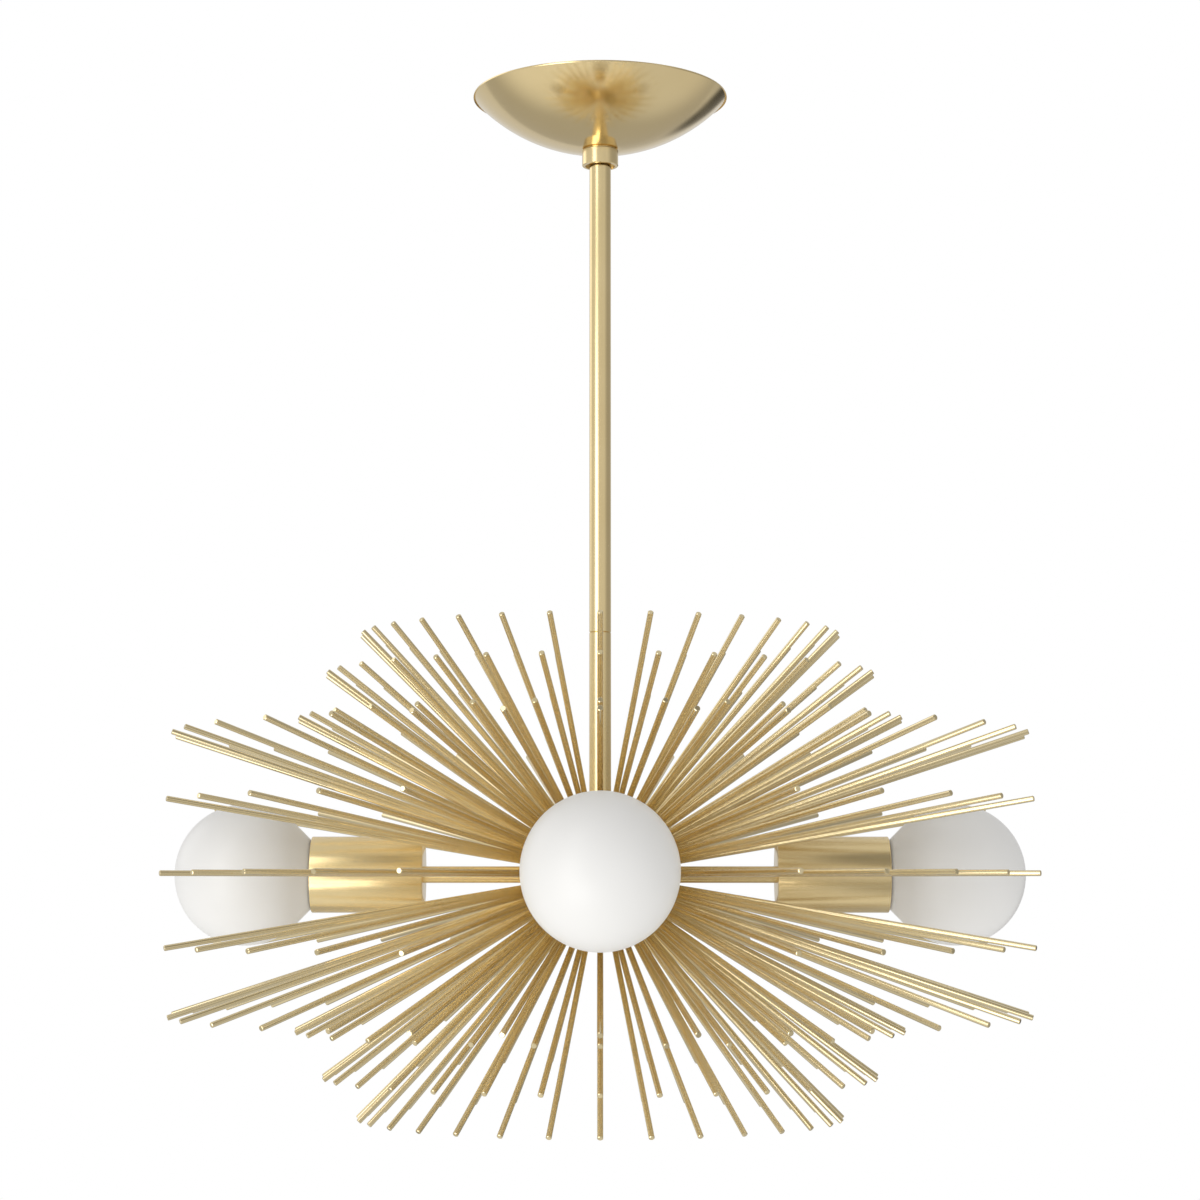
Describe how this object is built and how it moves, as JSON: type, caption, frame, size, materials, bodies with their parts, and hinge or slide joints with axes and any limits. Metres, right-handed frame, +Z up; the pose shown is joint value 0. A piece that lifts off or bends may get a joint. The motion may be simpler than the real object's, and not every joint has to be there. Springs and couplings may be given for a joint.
{
  "type": "rod starburst chandelier",
  "caption": "Ceiling chandelier: a rigid stem carries a ball with a dense starburst of brass rods and level arms that end in socket cups with opal globe bulbs.",
  "frame": {"origin": "centre of the mounting bar's top face, where it meets the outlet box in the ceiling plane", "axes": "+Z up along the stem, -Y towards the front lamp, +X to the right lamp; the mounting bar lies along X"},
  "size_m": [0.4928, 0.4928, 0.6058],
  "materials": {
    "satin_brass": "satin, finely brushed and lacquered",
    "rod_brass": "satin drawn rod",
    "zinc_steel": "bright zinc plate",
    "ground_green": "green dyed plate",
    "holder_insulator": "glazed white",
    "holder_metal": "bright stamped",
    "opal_glass": "opal white, soft gloss",
    "bulb_base_metal": "bright rolled",
    "solder": "dull solder"
  },
  "bodies": {
    "fixture": {"mounting_bar": "zinc_steel", "ground_screw": "ground_green", "bar_locknut": "zinc_steel", "ceiling_nipple": "zinc_steel", "upper_stem": "satin_brass", "stem_coupling": "zinc_steel", "lower_stem": "satin_brass", "hub_ball": "satin_brass", "hub_bottom_cap": "satin_brass", "hub_nipple": "zinc_steel", "hub_locknut": "zinc_steel", "cup_locknuts": "zinc_steel", "rods_equator": "rod_brass", "rods_upper_1": "rod_brass", "rods_upper_2": "rod_brass", "rods_upper_3": "rod_brass", "rods_upper_4": "rod_brass", "rods_upper_5": "rod_brass", "rods_lower_1": "rod_brass", "rods_lower_2": "rod_brass", "rods_lower_3": "rod_brass", "rods_lower_4": "rod_brass", "rods_lower_5": "rod_brass", "arm_front": "satin_brass", "socket_cup_front": "satin_brass", "lampholder_front": "holder_insulator", "holder_shell_front": "holder_metal", "holder_contact_front": "holder_metal", "arm_right": "satin_brass", "socket_cup_right": "satin_brass", "lampholder_right": "holder_insulator", "holder_shell_right": "holder_metal", "holder_contact_right": "holder_metal", "arm_back": "satin_brass", "socket_cup_back": "satin_brass", "lampholder_back": "holder_insulator", "holder_shell_back": "holder_metal", "holder_contact_back": "holder_metal", "arm_left": "satin_brass", "socket_cup_left": "satin_brass", "lampholder_left": "holder_insulator", "holder_shell_left": "holder_metal", "holder_contact_left": "holder_metal"},
    "canopy_set": {"canopy": "satin_brass", "canopy_collar": "satin_brass", "collar_set_screw": "zinc_steel"},
    "lamp_travel_front": {"bulb_tip_front": "solder"},
    "bulb_front": {"bulb_globe_front": "opal_glass", "bulb_cap_front": "bulb_base_metal"},
    "lamp_travel_right": {"bulb_tip_right": "solder"},
    "bulb_right": {"bulb_globe_right": "opal_glass", "bulb_cap_right": "bulb_base_metal"},
    "lamp_travel_back": {"bulb_tip_back": "solder"},
    "bulb_back": {"bulb_globe_back": "opal_glass", "bulb_cap_back": "bulb_base_metal"},
    "lamp_travel_left": {"bulb_tip_left": "solder"},
    "bulb_left": {"bulb_globe_left": "opal_glass", "bulb_cap_left": "bulb_base_metal"}
  },
  "joints": [
    {"name": "bulb_front_travel", "type": "slide", "parent": "fixture", "child": "lamp_travel_front", "axis": [0, -1, 0], "range_m": [0, 0.01816]},
    {"name": "bulb_front_turn", "type": "hinge", "parent": "lamp_travel_front", "child": "bulb_front", "pos_m": [0, -0.2, -0.46007], "axis": [0, -1, 0], "range_deg": [0, 1800]},
    {"name": "bulb_right_travel", "type": "slide", "parent": "fixture", "child": "lamp_travel_right", "axis": [1, 0, 0], "range_m": [0, 0.01816]},
    {"name": "bulb_right_turn", "type": "hinge", "parent": "lamp_travel_right", "child": "bulb_right", "pos_m": [0.2, 0, -0.46007], "axis": [1, 0, 0], "range_deg": [0, 1800]},
    {"name": "bulb_back_travel", "type": "slide", "parent": "fixture", "child": "lamp_travel_back", "axis": [0, 1, 0], "range_m": [0, 0.01816]},
    {"name": "bulb_back_turn", "type": "hinge", "parent": "lamp_travel_back", "child": "bulb_back", "pos_m": [0, 0.2, -0.46007], "axis": [0, 1, 0], "range_deg": [0, 1800]},
    {"name": "bulb_left_travel", "type": "slide", "parent": "fixture", "child": "lamp_travel_left", "axis": [-1, 0, 0], "range_m": [0, 0.01816]},
    {"name": "bulb_left_turn", "type": "hinge", "parent": "lamp_travel_left", "child": "bulb_left", "pos_m": [-0.2, 0, -0.46007], "axis": [-1, 0, 0], "range_deg": [0, 1800]},
    {"name": "canopy_slide", "type": "slide", "parent": "fixture", "child": "canopy_set", "axis": [0, 0, 1], "range_m": [-0.37, 0]}
  ],
  "couplings": [
    {"joint": "bulb_front_travel", "follows": "bulb_front_turn", "m_per_rad": 0.0005775},
    {"joint": "bulb_right_travel", "follows": "bulb_right_turn", "m_per_rad": 0.0005775},
    {"joint": "bulb_back_travel", "follows": "bulb_back_turn", "m_per_rad": 0.0005775},
    {"joint": "bulb_left_travel", "follows": "bulb_left_turn", "m_per_rad": 0.0005775}
  ]
}
